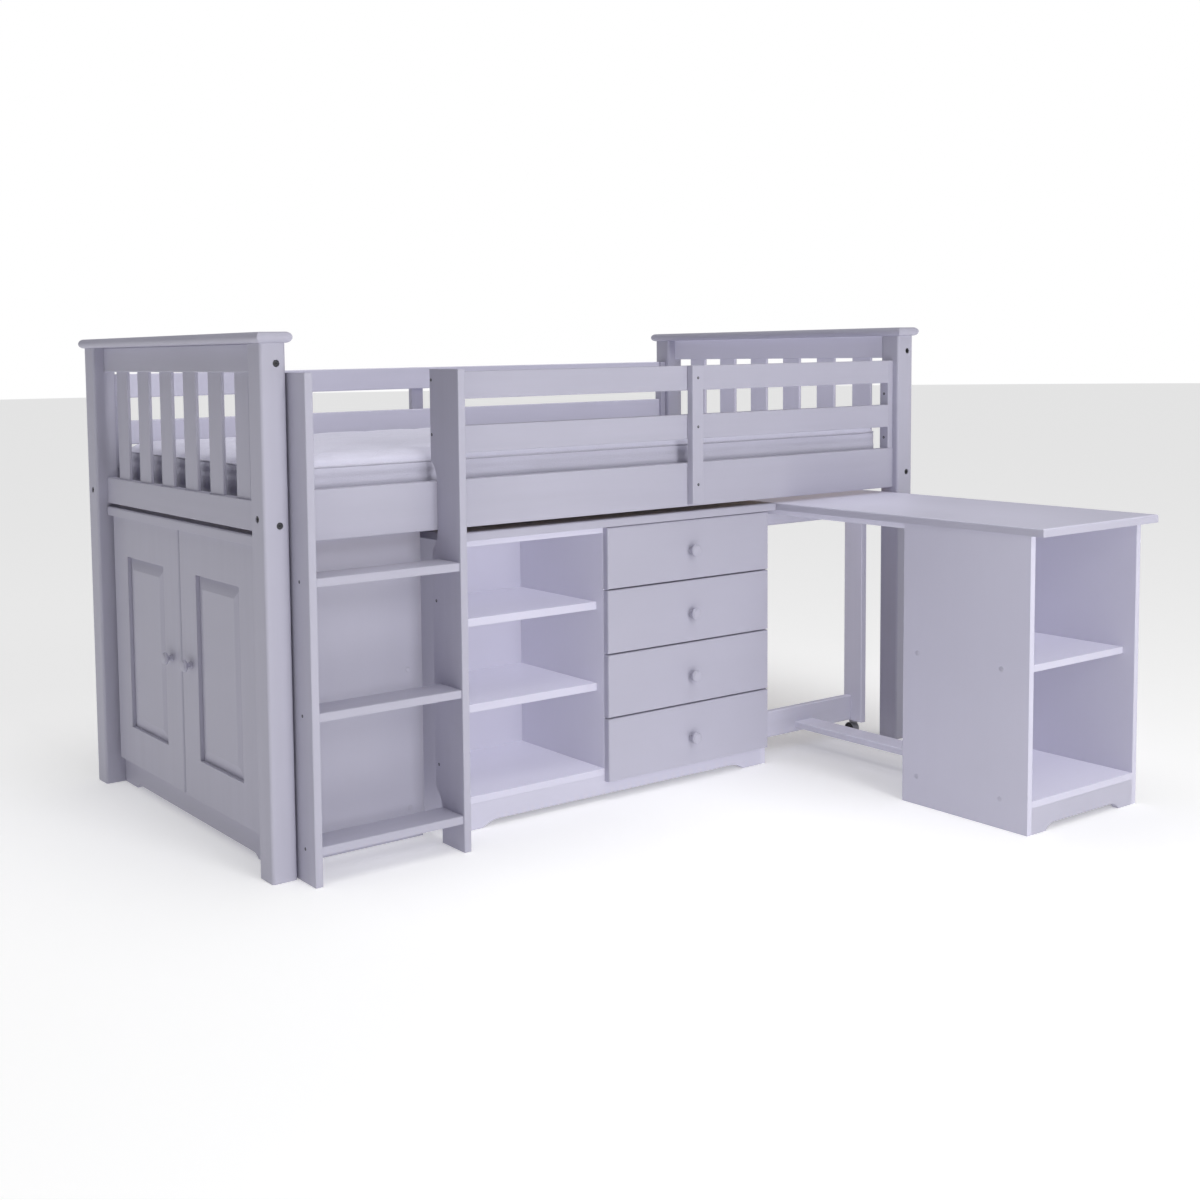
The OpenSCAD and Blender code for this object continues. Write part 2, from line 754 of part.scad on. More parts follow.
posts_left();
posts_right();
cap_left();
cap_right();
end_rails_left();
end_rails_right();
end_slats_left();
end_slats_right();
side_rail_front();
side_rail_back();
slat_ledges();
bed_slats();
guard_boards_front();
guard_boards_back();
guard_uprights();
mattress();
ladder_stile_left();
ladder_stile_right();
ladder_treads();
frame_bolts();
barrel_nuts();
cupboard_top();
cupboard_sides();
cupboard_back();
cupboard_shelves();
cupboard_plinth();
door_front_frame();
door_front_panel();
door_front_knob();
door_back_frame();
door_back_panel();
door_back_knob();
hinge_arms();
hinge_cups_front();
hinge_cups_back();
chest_top();
chest_uprights();
chest_back();
chest_shelves();
chest_plinth();
drawer_runners();
drawer_1_front();
drawer_1_box();
drawer_2_front();
drawer_2_box();
drawer_3_front();
drawer_3_box();
drawer_4_front();
drawer_4_box();
desk_top();
pedestal_sides();
pedestal_back();
pedestal_shelves();
pedestal_plinth();
desk_legs();
desk_rails();
castor_left_fork();
castor_left_wheels();
castor_right_fork();
castor_right_wheels();
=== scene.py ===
"""Looks of a loft bed with desk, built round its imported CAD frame.

Metres. +X runs along the bed to the desk end, +Y is the back, +Z is up and the floor is z = 0.
"""
import math

import bmesh
import bpy
import numpy as np
from mathutils import Matrix, Vector
from mathutils.bvhtree import BVHTree


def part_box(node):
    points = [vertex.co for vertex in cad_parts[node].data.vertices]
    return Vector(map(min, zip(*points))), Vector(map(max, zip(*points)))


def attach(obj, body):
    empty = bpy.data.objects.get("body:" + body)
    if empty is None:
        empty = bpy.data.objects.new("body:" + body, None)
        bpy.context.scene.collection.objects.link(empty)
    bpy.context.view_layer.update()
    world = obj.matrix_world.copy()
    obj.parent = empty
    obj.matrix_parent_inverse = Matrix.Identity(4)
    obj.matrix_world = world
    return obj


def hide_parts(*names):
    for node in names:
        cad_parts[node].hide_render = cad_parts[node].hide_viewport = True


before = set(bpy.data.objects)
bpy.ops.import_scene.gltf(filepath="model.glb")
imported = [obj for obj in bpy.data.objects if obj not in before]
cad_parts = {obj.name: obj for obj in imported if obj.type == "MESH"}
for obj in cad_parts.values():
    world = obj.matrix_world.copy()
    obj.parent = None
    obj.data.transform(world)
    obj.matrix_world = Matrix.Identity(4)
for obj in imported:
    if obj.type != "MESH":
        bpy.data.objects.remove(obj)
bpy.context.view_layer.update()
scene = bpy.context.scene
scene.view_settings.view_transform = "Standard"
MM = 0.001
X, Y, Z = Vector((1, 0, 0)), Vector((0, 1, 0)), Vector((0, 0, 1))


# ---------------------------------------------------------------- camera, floor and light

VIEW_YAW, VIEW_PITCH, VIEW_ROLL = math.radians(33.491), math.radians(4.431), math.radians(0.941)
VIEW_PLACE = (-2.4339, -2.8779, 1.1113)
VIEW_LENS = 45.104
VIEW_SHIFT = (0.143, -0.1092)


def add_camera():
    """A nearly level view from the front left, at about the height of the bed's caps."""
    yaw, pitch, roll = VIEW_YAW, VIEW_PITCH, VIEW_ROLL
    level = Vector((math.sin(yaw), math.cos(yaw), 0))
    ahead = Vector((level.x * math.cos(pitch), level.y * math.cos(pitch), -math.sin(pitch)))
    right = Vector((math.cos(yaw), -math.sin(yaw), 0))
    down = ahead.cross(right)
    right_rolled = math.cos(roll) * right + math.sin(roll) * down
    down_rolled = math.cos(roll) * down - math.sin(roll) * right
    data = bpy.data.cameras.new("camera")
    data.sensor_width = 36
    data.lens = VIEW_LENS
    data.shift_x, data.shift_y = VIEW_SHIFT
    data.clip_start, data.clip_end = 0.05, 80
    camera = bpy.data.objects.new("camera", data)
    turn = Matrix((right_rolled, -down_rolled, -ahead)).transposed().to_4x4()
    camera.matrix_world = Matrix.Translation(VIEW_PLACE) @ turn
    scene.collection.objects.link(camera)
    scene.camera = camera


def add_light(name, kind, place, target, energy, **settings):
    data = bpy.data.lights.new(name, kind)
    data.energy = energy
    for key, value in settings.items():
        setattr(data, key, value)
    light = bpy.data.objects.new(name, data)
    light.location = place
    light.rotation_euler = (Vector(target) - Vector(place)).to_track_quat("-Z", "Y").to_euler()
    scene.collection.objects.link(light)
    return light


FLOOR_RADIUS = 40
FLOOR_GAP = 0.0005


def add_world():
    """A surround that looks white to the camera and lights the scene faintly."""
    world = bpy.data.worlds.new("studio")
    world.use_nodes = True
    tree = world.node_tree
    tree.nodes["Background"].inputs["Strength"].default_value = 0.09
    white = tree.nodes.new("ShaderNodeBackground")
    sight = tree.nodes.new("ShaderNodeLightPath")
    choice = tree.nodes.new("ShaderNodeMixShader")
    for background in (tree.nodes["Background"], white):
        background.inputs["Color"].default_value = (1, 1, 1, 1)
    tree.links.new(sight.outputs["Is Camera Ray"], choice.inputs["Fac"])
    tree.links.new(tree.nodes["Background"].outputs[0], choice.inputs[1])
    tree.links.new(white.outputs[0], choice.inputs[2])
    tree.links.new(choice.outputs[0], tree.nodes["World Output"].inputs["Surface"])
    scene.world = world


def add_keys():
    """Soft keys from the front, from the left and from above."""
    add_light("low_key", "AREA", (-0.2, -5.2, 0.8), (0, 0, 0.5), 72, shape="DISK", size=2.0)
    add_light("high_key", "AREA", (-0.4, -4.6, 3.4), (0, 0, 0.4), 56, shape="DISK", size=2.0)
    add_light("left_key", "AREA", (-4.6, 1.2, 1.7), (-1, 0, 0.6), 11, shape="DISK", size=1.6)
    add_light("overhead", "SUN", (0, -0.5, 5), (0, 0, 0), 1.5, angle=math.radians(60))


def add_floor():
    """A wide white floor just under the feet, bright enough to fade into the surround."""
    bm = bmesh.new()
    bmesh.ops.create_circle(bm, cap_ends=True, radius=FLOOR_RADIUS, segments=96)
    mesh = bpy.data.meshes.new("floor")
    bm.to_mesh(mesh)
    bm.free()
    floor = bpy.data.objects.new("floor", mesh)
    floor.location.z = -FLOOR_GAP
    scene.collection.objects.link(floor)
    shader = Shader("studio_floor")
    shader.set("Roughness", 0.9)
    shader.set("Specular IOR Level", 0.1)
    shader.set("Base Color", (0.93, 0.93, 0.93, 1))
    shader.set("Emission Color", (1, 1, 1, 1))
    shader.set("Emission Strength", 0.26)
    mesh.materials.append(shader.material)


def add_studio():
    add_world()
    add_keys()
    add_floor()


CASES = ["chest_uprights", "chest_back", "chest_shelves", "desk_legs", "desk_rails",
         "end_rails_right", "end_slats_right"]
PEDESTAL = ["pedestal_sides", "pedestal_back", "pedestal_shelves"]


def add_fill(name, kind, place, target, energy, pieces, **settings):
    """Even light without shadows on some pieces, as from a reflector board."""
    light = add_light(name, kind, place, target, energy, **settings)
    light.data.use_shadow = False
    group = bpy.data.collections.new(name)
    for piece in pieces:
        group.objects.link(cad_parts[piece] if isinstance(piece, str) else piece)
    light.light_linking.receiver_collection = group


def add_fills(mattress):
    """Fills for the recesses of the cases, the desk, the far end and the mattress."""
    low = CASES + PEDESTAL + ["guard_boards_back", "chest_plinth"]
    add_fill("front_fill", "AREA", (-0.95, -3.4, 1.6), (0.5, 0, 0.5), 40, low, shape="DISK", size=0.5)
    high = CASES + PEDESTAL + ["desk_top", "guard_boards_back"] + mattress
    add_fill("top_fill", "SUN", (0, -1, 5), (0, 0, 0), 1.4, high, angle=math.radians(5))
    add_fill("left_fill", "SUN", (-5, -1.5, 1), (0, 0, 0), 0.7, CASES, angle=math.radians(5))


# ---------------------------------------------------------------- materials

class Shader:
    """One material and its node tree, with short calls that add and join nodes."""

    def __init__(self, name):
        self.material = bpy.data.materials.new(name)
        self.material.use_nodes = True
        self.tree = self.material.node_tree
        self.surface = self.tree.nodes["Principled BSDF"]
        self.place = None

    def add(self, kind, sockets=None, **settings):
        node = self.tree.nodes.new("ShaderNode" + kind)
        for key, value in settings.items():
            setattr(node, key, value)
        for key, value in (sockets or {}).items():
            self.put(node.inputs[key], value)
        return node

    def put(self, socket, value):
        if isinstance(value, bpy.types.NodeSocket):
            self.tree.links.new(value, socket)
        else:
            socket.default_value = value

    def set(self, key, value):
        self.put(self.surface.inputs[key], value)

    def coords(self, stretch=(1, 1, 1)):
        """Coordinates fixed to the piece, in metres, scaled along each axis."""
        if self.place is None:
            self.place = self.add("TexCoord").outputs["Object"]
        return self.add("Mapping", {"Vector": self.place, "Scale": stretch}).outputs["Vector"]

    def noise(self, vector, scale, detail=2.0, roughness=0.5):
        sockets = {"Vector": vector, "Scale": scale, "Detail": detail, "Roughness": roughness}
        return self.add("TexNoise", sockets).outputs["Fac"]

    def math(self, operation, a, b=0.0):
        return self.add("Math", {0: a, 1: b}, operation=operation).outputs[0]

    def spread(self, value, low, high, to_low=0.0, to_high=1.0):
        """Maps low..high to to_low..to_high, clamped."""
        sockets = {"Value": value, "From Min": low, "From Max": high, "To Min": to_low, "To Max": to_high}
        return self.add("MapRange", sockets).outputs["Result"]

    def mix(self, share, a, b):
        """A colour between a and b."""
        node = self.add("Mix", data_type="RGBA")
        for index, value in ((0, share), (6, a), (7, b)):
            self.put(node.inputs[index], value)
        return node.outputs[2]

    def bevel_and_edge_mask(self, radius):
        """Rounded normals, and 1 on the edges that the rounding bends."""
        soft = self.add("Bevel", {"Radius": radius}, samples=6).outputs["Normal"]
        flat = self.add("NewGeometry").outputs["Normal"]
        dot = self.add("VectorMath", {0: soft, 1: flat}, operation="DOT_PRODUCT").outputs["Value"]
        return soft, self.spread(dot, 0.995, 0.86)

    def bump(self, height, depth, strength=1.0, normal=None):
        sockets = {"Height": height, "Distance": depth, "Strength": strength}
        if normal is not None:
            sockets["Normal"] = normal
        return self.add("Bump", sockets).outputs["Normal"]


def tint(color, factor):
    return tuple(c * factor for c in color[:3]) + (1,)


PAINT = (0.500, 0.490, 0.590, 1)
# Lighter lavender painted on the edges as a highlight.
PAINT_EDGE_HIGHLIGHT = (0.590, 0.580, 0.680, 1)


def painted(name, axis, figure_depth, color=PAINT):
    """Satin lavender grey paint. Grain shows through it along one axis, and its edges carry a painted
    highlight, a lighter lavender where the rounded edges would catch the light.
    """
    s = Shader(name)
    stretch = [34, 34, 34]
    stretch[axis] = 1.6
    grain = s.noise(s.coords(stretch), 1.0, 5, 0.62)
    cloud = s.noise(s.coords(), 2.6, 3)
    peel = s.noise(s.coords(), 620, 1)
    brush = s.noise(s.coords([60 if i != axis else 5 for i in range(3)]), 5.0, 2)
    normal, edge = s.bevel_and_edge_mask(0.0014)
    # Painted highlight: the edges are mixed, in patches, towards the lighter lavender.
    patchy_edge_highlight = s.math("MULTIPLY", edge, s.spread(s.noise(s.coords(), 28, 3), 0.38, 0.66))
    body = s.mix(s.spread(cloud, 0.3, 0.7), tint(color, 0.972), tint(color, 1.022))
    body = s.mix(s.spread(grain, 0.35, 0.75, 0, 0.55 * figure_depth), body, tint(color, 0.93))
    s.set("Base Color", s.mix(s.math("MULTIPLY", patchy_edge_highlight, 0.5), body, PAINT_EDGE_HIGHLIGHT))
    sheen = s.math("ADD", cloud, s.math("MULTIPLY", brush, 0.5))
    s.set("Roughness", s.spread(sheen, 0.45, 1.05, 0.37, 0.5))
    height = s.math("ADD", s.math("MULTIPLY", grain, figure_depth), s.math("MULTIPLY", peel, 0.18))
    height = s.math("ADD", height, s.math("MULTIPLY", brush, 0.22))
    s.set("Normal", s.bump(height, 0.0006, 0.35, normal))
    s.set("IOR", 1.46)
    s.set("Specular IOR Level", 0.42)
    return s.material


def bare_pine(name, axis):
    """Planed pine: growth rings as soft bands along the board, with knots here and there."""
    s = Shader(name)
    stretch = [1, 1, 1]
    stretch[axis] = 0.09
    warp = s.noise(s.coords([c * 9 for c in stretch]), 1.0, 3)
    ring_sockets = {"Vector": s.coords(stretch), "Scale": 22, "Distortion": 5.5, "Detail": 3,
                    "Detail Scale": 1.2}
    rings = s.add("TexWave", ring_sockets, wave_type="BANDS", bands_direction="DIAGONAL").outputs["Fac"]
    fibre = s.noise(s.coords([c * 420 for c in stretch]), 1.0, 3)
    knot_place = s.coords([c * 1.5 + 1.2 for c in stretch])
    knots = s.add("TexVoronoi", {"Vector": knot_place, "Scale": 2.3}).outputs["Distance"]
    knot = s.spread(knots, 0.09, 0.03)
    body = s.mix(s.spread(rings, 0.2, 0.95), (0.71, 0.53, 0.32, 1), (0.54, 0.35, 0.18, 1))
    body = s.mix(s.spread(warp, 0.35, 0.7, 0, 0.5), body, (0.76, 0.60, 0.40, 1))
    body = s.mix(s.spread(fibre, 0.3, 0.8, 0, 0.22), body, (0.45, 0.29, 0.15, 1))
    s.set("Base Color", s.mix(knot, body, (0.24, 0.12, 0.06, 1)))
    s.set("Roughness", s.spread(fibre, 0.3, 0.7, 0.5, 0.68))
    normal, _ = s.bevel_and_edge_mask(0.001)
    height = s.math("ADD", fibre, s.math("MULTIPLY", rings, 0.6))
    s.set("Normal", s.bump(height, 0.0004, 0.5, normal))
    return s.material


def metal(name, color, roughness):
    """Zinc-plated steel with fine scratches."""
    s = Shader(name)
    scratch = s.noise(s.coords((900, 120, 900)), 1.0, 3)
    cloud = s.noise(s.coords(), 90, 3)
    s.set("Base Color", s.mix(s.spread(cloud, 0.3, 0.7), tint(color, 0.8), tint(color, 1.15)))
    s.set("Metallic", 1.0)
    s.set("Roughness", s.spread(scratch, 0.3, 0.7, roughness - 0.08, roughness + 0.12))
    normal, _ = s.bevel_and_edge_mask(0.0004)
    s.set("Normal", s.bump(scratch, 0.0001, 0.4, normal))
    return s.material


def moulded(name, color, roughness):
    """Moulded plastic or rubber with a fine spark-eroded texture."""
    s = Shader(name)
    fine = s.noise(s.coords(), 1500, 2)
    cloud = s.noise(s.coords(), 45, 3)
    normal, edge = s.bevel_and_edge_mask(0.0006)
    body = s.mix(s.spread(cloud, 0.3, 0.7), tint(color, 0.88), tint(color, 1.1))
    # The edges are mixed a little towards a lighter tint of the colour.
    s.set("Base Color", s.mix(s.math("MULTIPLY", edge, 0.3), body, tint(color, 1.6)))
    s.set("Roughness", s.spread(cloud, 0.3, 0.7, roughness - 0.06, roughness + 0.08))
    s.set("Normal", s.bump(fine, 0.0001, 0.5, normal))
    return s.material


QUILT = 0.165
STITCH = 0.006


def quilted_knit(name, color):
    """Knitted mattress ticking: fine loops, with a stitched thread along each quilting line."""
    s = Shader(name)
    loops = s.add("TexVoronoi", {"Vector": s.coords((1, 1.5, 1.5)), "Scale": 420}).outputs["Distance"]
    rib = s.add("TexWave", {"Vector": s.coords(), "Scale": 190, "Distortion": 0.6},
                bands_direction="DIAGONAL").outputs["Fac"]
    cloud = s.noise(s.coords(), 6, 3)
    parts = s.add("SeparateXYZ", {"Vector": s.coords()})
    x, y = parts.outputs["X"], parts.outputs["Y"]
    thread = None
    for across, along in ((s.math("ADD", x, y), s.math("SUBTRACT", x, y)),
                          (s.math("SUBTRACT", x, y), s.math("ADD", x, y))):
        far = s.math("PINGPONG", s.math("DIVIDE", across, QUILT), 0.5)
        line = s.spread(far, 0.0095, 0.0055)
        dash = s.math("PINGPONG", s.math("DIVIDE", along, STITCH), 0.5)
        one = s.math("MULTIPLY", line, s.spread(dash, 0.1, 0.16))
        thread = one if thread is None else s.math("MAXIMUM", thread, one)
    panel = s.add("Attribute", attribute_name="panel").outputs["Fac"]
    thread = s.math("MULTIPLY", thread, panel)
    body = s.mix(s.spread(cloud, 0.3, 0.7), tint(color, 0.96), tint(color, 1.02))
    body = s.mix(s.spread(loops, 0.0, 0.7, 0.28, 0), body, tint(color, 0.72))
    s.set("Base Color", s.mix(thread, body, tint(color, 1.12)))
    s.set("Roughness", s.spread(loops, 0, 1, 0.95, 0.8))
    s.set("Sheen Weight", 0.25)
    s.set("Sheen Roughness", 0.45)
    height = s.math("ADD", s.math("MULTIPLY", loops, 0.8), s.math("MULTIPLY", rib, 0.35))
    s.set("Normal", s.bump(s.math("ADD", height, s.math("MULTIPLY", thread, 1.6)), 0.0007, 0.7))
    return s.material


def woven_tape(name, color):
    """Twill tape that binds the mattress edges."""
    s = Shader(name)
    twill = s.add("TexWave", {"Vector": s.coords(), "Scale": 330}, bands_direction="DIAGONAL").outputs["Fac"]
    cloud = s.noise(s.coords(), 30, 3)
    body = s.mix(s.spread(twill, 0.2, 0.9), tint(color, 0.8), tint(color, 1.05))
    s.set("Base Color", s.mix(s.spread(cloud, 0.35, 0.65, 0, 0.3), body, tint(color, 0.9)))
    s.set("Roughness", s.spread(twill, 0, 1, 0.85, 0.7))
    s.set("Sheen Weight", 0.2)
    s.set("Normal", s.bump(twill, 0.0004, 0.6))
    return s.material


# ---------------------------------------------------------------- meshes

def new_piece(name, bm, body, material, smooth=True):
    """An object made from a bmesh, riding on a CAD body."""
    bmesh.ops.recalc_face_normals(bm, faces=bm.faces)
    mesh = bpy.data.meshes.new(name)
    bm.to_mesh(mesh)
    bm.free()
    mesh.materials.append(material)
    for face in mesh.polygons:
        face.use_smooth = smooth
    piece = bpy.data.objects.new(name, mesh)
    scene.collection.objects.link(piece)
    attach(piece, body)
    return piece


def solids(node):
    """The boxes of a node's separate solids, as (lowest corner, highest corner), sorted by centre."""
    bm = bmesh.new()
    bm.from_mesh(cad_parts[node].data)
    bmesh.ops.remove_doubles(bm, verts=bm.verts, dist=1e-6)
    left = set(bm.verts)
    boxes = []
    while left:
        stack = [left.pop()]
        low, high = stack[0].co.copy(), stack[0].co.copy()
        while stack:
            vert = stack.pop()
            low = Vector(map(min, low, vert.co))
            high = Vector(map(max, high, vert.co))
            for edge in vert.link_edges:
                other = edge.other_vert(vert)
                if other in left:
                    left.remove(other)
                    stack.append(other)
        boxes.append((low, high))
    bm.free()
    return sorted(boxes, key=lambda b: tuple(round(v, 3) for v in b[0] + b[1]))


SIDES = 24


def turned(bm, profile, place, axis):
    """Adds a turned form: rings of (radius, height, shape) along axis from place, closed at both ends.
    shape is round, hex or cross, for drive recesses."""
    side = axis.orthogonal().normalized()
    other = axis.cross(side)
    rings = []
    for radius, height, *shape in profile:
        ring = []
        for k in range(SIDES):
            angle = 2 * math.pi * k / SIDES
            reach = radius
            if shape and shape[0] == "hex":
                reach *= math.cos(math.pi / 6) / math.cos(angle % (math.pi / 3) - math.pi / 6)
            if shape and shape[0] == "cross":
                turn = min(angle % (math.pi / 2), math.pi / 2 - angle % (math.pi / 2))
                reach *= 1 if turn < 0.3 else 0.36
            spot = place + axis * height + (side * math.cos(angle) + other * math.sin(angle)) * reach
            ring.append(bm.verts.new(spot))
        rings.append(ring)
    for a, b in zip(rings, rings[1:]):
        for k in range(SIDES):
            bm.faces.new((a[k], a[(k + 1) % SIDES], b[(k + 1) % SIDES], b[k]))
    bm.faces.new(rings[0])
    bm.faces.new(rings[-1])


def flat_shaded_by_angle(piece, degrees=35):
    """Keeps sharp edges sharp and the rest smooth."""
    bm = bmesh.new()
    bm.from_mesh(piece.data)
    for edge in bm.edges:
        edge.smooth = len(edge.link_faces) == 2 and edge.calc_face_angle(0) < math.radians(degrees)
    bm.to_mesh(piece.data)
    bm.free()


def turned_group(name, profile, spots, body, material):
    """One piece that holds the same turned form at several (place, axis) spots."""
    bm = bmesh.new()
    for place, axis in spots:
        turned(bm, profile, Vector(place), axis)
    piece = new_piece(name, bm, body, material)
    flat_shaded_by_angle(piece)
    return piece


SCREW = [(0.2 * MM, -0.9 * MM), (1.5 * MM, -0.9 * MM, "cross"), (1.7 * MM, 0.15 * MM, "cross"),
         (2.3 * MM, 0.15 * MM), (3.4 * MM, 0.05 * MM), (3.7 * MM, -0.05 * MM), (3.7 * MM, -1.2 * MM),
         (0.2 * MM, -1.2 * MM)]
CAP = [(0.3 * MM, 0.75 * MM), (2.5 * MM, 0.7 * MM), (5.0 * MM, 0.45 * MM), (6.0 * MM, 0.05 * MM),
       (6.0 * MM, -0.6 * MM), (0.3 * MM, -0.6 * MM)]


def middle(box, axis):
    return (box[0][axis] + box[1][axis]) / 2


def add_screws(screw_steel, paint):
    """Screw heads in the ladder and guards, and cover caps on the case sides."""
    treads = sorted(solids("ladder_treads"), key=lambda b: b[0].z)
    left_low, left_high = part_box("ladder_stile_left")
    right_low, right_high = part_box("ladder_stile_right")
    front = left_low.y + 42 * MM
    ladder = []
    for tread in treads:
        ladder.append(((left_low.x, front, middle(tread, 2)), -X))
        ladder.append(((right_high.x, front, middle(tread, 2)), X))
    for z in (554 * MM, 179 * MM):
        ladder.append(((right_low.x, right_high.y - 15 * MM, z), -X))
    guards = solids("guard_boards_front")
    for board in guards:
        ladder.append(((right_low.x, right_high.y - 7 * MM, middle(board, 2) + 13 * MM), -X))
    turned_group("ladder_screws", SCREW, ladder, "base", screw_steel)

    posts = sorted(solids("guard_uprights"), key=lambda b: (b[0].y, b[0].x))
    front_mid = min(posts, key=lambda b: b[0].y)
    back_mid = max(posts, key=lambda b: b[1].y)
    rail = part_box("side_rail_front")
    heights = [middle(board, 2) for board in guards] + [middle(rail, 2)]
    spots = [((middle(front_mid, 0), front_mid[0].y, z), -Y) for z in heights]
    spots += [((middle(back_mid, 0), back_mid[1].y, z), Y) for z in heights]
    gaps = ((rail[1].z + guards[0][0].z) / 2, (guards[0][1].z + guards[1][0].z) / 2)
    for cleat in posts:
        if cleat in (front_mid, back_mid):
            continue
        inner = (cleat[0].x, -X) if cleat[0].x > 0 else (cleat[1].x, X)
        spots += [((inner[0], middle(cleat, 1), z), inner[1]) for z in gaps]
    turned_group("guard_screws", SCREW, spots, "base", screw_steel)

    shelves = sorted(solids("pedestal_shelves"), key=lambda b: b[0].z)
    left, right = sorted(solids("pedestal_sides"), key=lambda b: b[0].x)
    spots = []
    for shelf in shelves:
        for y in (left[0].y + 72 * MM, left[1].y - 42 * MM):
            spots.append(((left[0].x, y, middle(shelf, 2)), -X))
            spots.append(((right[1].x, y, middle(shelf, 2)), X))
    turned_group("pedestal_caps", CAP, spots, "desk", paint)

    shelves = sorted(solids("cupboard_shelves"), key=lambda b: b[0].z)
    near, far = sorted(solids("cupboard_sides"), key=lambda b: b[0].y)
    spots = []
    for shelf in shelves:
        for x in (near[0].x + 40 * MM, near[1].x - 34 * MM):
            spots.append(((x, near[0].y, middle(shelf, 2)), -Y))
            spots.append(((x, far[1].y, middle(shelf, 2)), Y))
    turned_group("cupboard_caps", CAP, spots, "base", paint)


def add_bolts(steel):
    """Socket bolts with a rounded head rim and a hexagon drive, in the pockets of the posts."""
    head = 4 * MM
    socket = [(0.3 * MM, -2.6 * MM), (2.4 * MM, -2.6 * MM, "hex"), (2.5 * MM, 0, "hex")]
    rim = [(3.2 * MM, 0.05 * MM), (6.2 * MM, 0), (6.8 * MM, -0.5 * MM), (6.9 * MM, -1.0 * MM),
           (6.9 * MM, -head)]
    shank = [(3 * MM, -head), (3 * MM, -90 * MM), (0.3 * MM, -91 * MM)]
    profile = socket + rim + shank
    spots = []
    for low, high in solids("frame_bolts"):
        size = high - low
        centre = (low + high) / 2
        axis = X if size.x > size.y else Y
        index = 0 if axis is X else 1
        bed = ((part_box("posts_left")[0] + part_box("posts_right")[1]) / 2)[index]
        outward = centre[index] > bed if axis is X else centre[index] > middle(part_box("posts_left"), 1)
        face = high if outward else low
        place = centre.copy()
        place[index] = face[index]
        spots.append((place, axis if outward else -axis))
    bolts = turned_group("bolts", profile, spots, "base", steel)
    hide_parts("frame_bolts")


# ---------------------------------------------------------------- mattress

QUARTERS = ((1, 1, 0), (-1, 1, 90), (-1, -1, 180), (1, -1, 270))


def quarter_turn(start, steps):
    """The angles of a quarter circle from start degrees, both ends included."""
    return [math.radians(start + 90 * k / steps) for k in range(steps + 1)]


def baked(obj):
    """The object's mesh with its modifiers applied."""
    result = bpy.data.meshes.new_from_object(obj.evaluated_get(bpy.context.evaluated_depsgraph_get()))
    obj.modifiers.clear()
    return result


def slab(low, high, corner, edge):
    """A mattress blank: round corners in plan and rounded top and bottom edges."""
    bm = bmesh.new()
    rings = []
    steps = 5
    levels = [(edge * (1 - math.sin(a)), low.z + edge * (1 - math.cos(a)))
              for a in [math.pi / 2 * k / steps for k in range(steps + 1)]]
    levels += [(inset, high.z + low.z - z) for inset, z in reversed(levels)]
    for inset, z in levels:
        ring = []
        reach = corner - inset
        for side_x, side_y, start in QUARTERS:
            pivot = Vector((high.x - corner if side_x > 0 else low.x + corner,
                            high.y - corner if side_y > 0 else low.y + corner))
            for angle in quarter_turn(start, 8):
                spot = (pivot.x + reach * math.cos(angle), pivot.y + reach * math.sin(angle), z)
                ring.append(bm.verts.new(spot))
        rings.append(ring)
    count = len(rings[0])
    for a, b in zip(rings, rings[1:]):
        for k in range(count):
            bm.faces.new((a[k], a[(k + 1) % count], b[(k + 1) % count], b[k]))
    bm.faces.new(rings[0])
    bm.faces.new(rings[-1])
    bmesh.ops.recalc_face_normals(bm, faces=bm.faces)
    return bm


def coordinates(mesh):
    values = np.empty(len(mesh.vertices) * 3, np.float32)
    mesh.vertices.foreach_get("co", values)
    return values.reshape(-1, 3).astype(float)


def normals(mesh):
    values = np.empty(len(mesh.vertices) * 3, np.float32)
    mesh.vertex_normals.foreach_get("vector", values)
    return values.reshape(-1, 3).astype(float)


def put_coordinates(mesh, values):
    mesh.vertices.foreach_set("co", values.astype(np.float32).ravel())
    mesh.update()


def inflate(piece, frames, reach):
    """Blows the piece up a little as cloth, and lets no point move further than reach."""
    start = coordinates(piece.data)
    cloth = piece.modifiers.new("Cloth", "CLOTH")
    cloth.settings.quality = 4
    cloth.settings.mass = 0.4
    cloth.settings.tension_stiffness = 18
    cloth.settings.compression_stiffness = 18
    cloth.settings.bending_stiffness = 1.5
    cloth.settings.use_pressure = True
    cloth.settings.uniform_pressure_force = 4
    cloth.settings.effector_weights.gravity = 0
    cloth.collision_settings.use_collision = False
    for number in range(1, frames + 1):
        scene.frame_set(number)
    blown = baked(piece)
    scene.frame_set(1)
    moved = coordinates(blown) - start
    length = np.linalg.norm(moved, axis=1, keepdims=True)
    moved *= np.minimum(1, reach / np.maximum(length, 1e-9))
    piece.data = blown
    put_coordinates(blown, start + moved)


def valley(distance, width):
    return np.exp(-(distance / width) ** 2)


def distance_to_lines(values, pitch):
    return np.abs((values / pitch + 0.5) % 1 - 0.5) * pitch


MARGIN = Vector((6, 7, 5)) * MM
PUFF = 3.2 * MM
LINE_OFFSET, LINE_WIDTH, LINE_DEPTH = 20 * MM, 6 * MM, 1.5 * MM
TAPE_DROP = 25 * MM
TAPE_RADIUS = 3.0 * MM
TAPE_CORNER = 46 * MM
TAPE_STEP = 50 * MM
TAPE_REACH = 30 * MM


def add_blank(low, high, knit):
    """A round-edged mattress blank, remeshed evenly and blown up a little as cloth."""
    bm = slab(low + MARGIN, high - MARGIN, 40 * MM, 30 * MM)
    blank = new_piece("mattress_cover", bm, "base", knit)
    remesh = blank.modifiers.new("Remesh", "REMESH")
    remesh.mode = "VOXEL"
    remesh.voxel_size = 11 * MM
    blank.data = baked(blank)
    inflate(blank, 20, 9 * MM)
    subdivide = blank.modifiers.new("Subdivision", "SUBSURF")
    subdivide.levels = subdivide.render_levels = 1
    blank.data = baked(blank)
    return blank


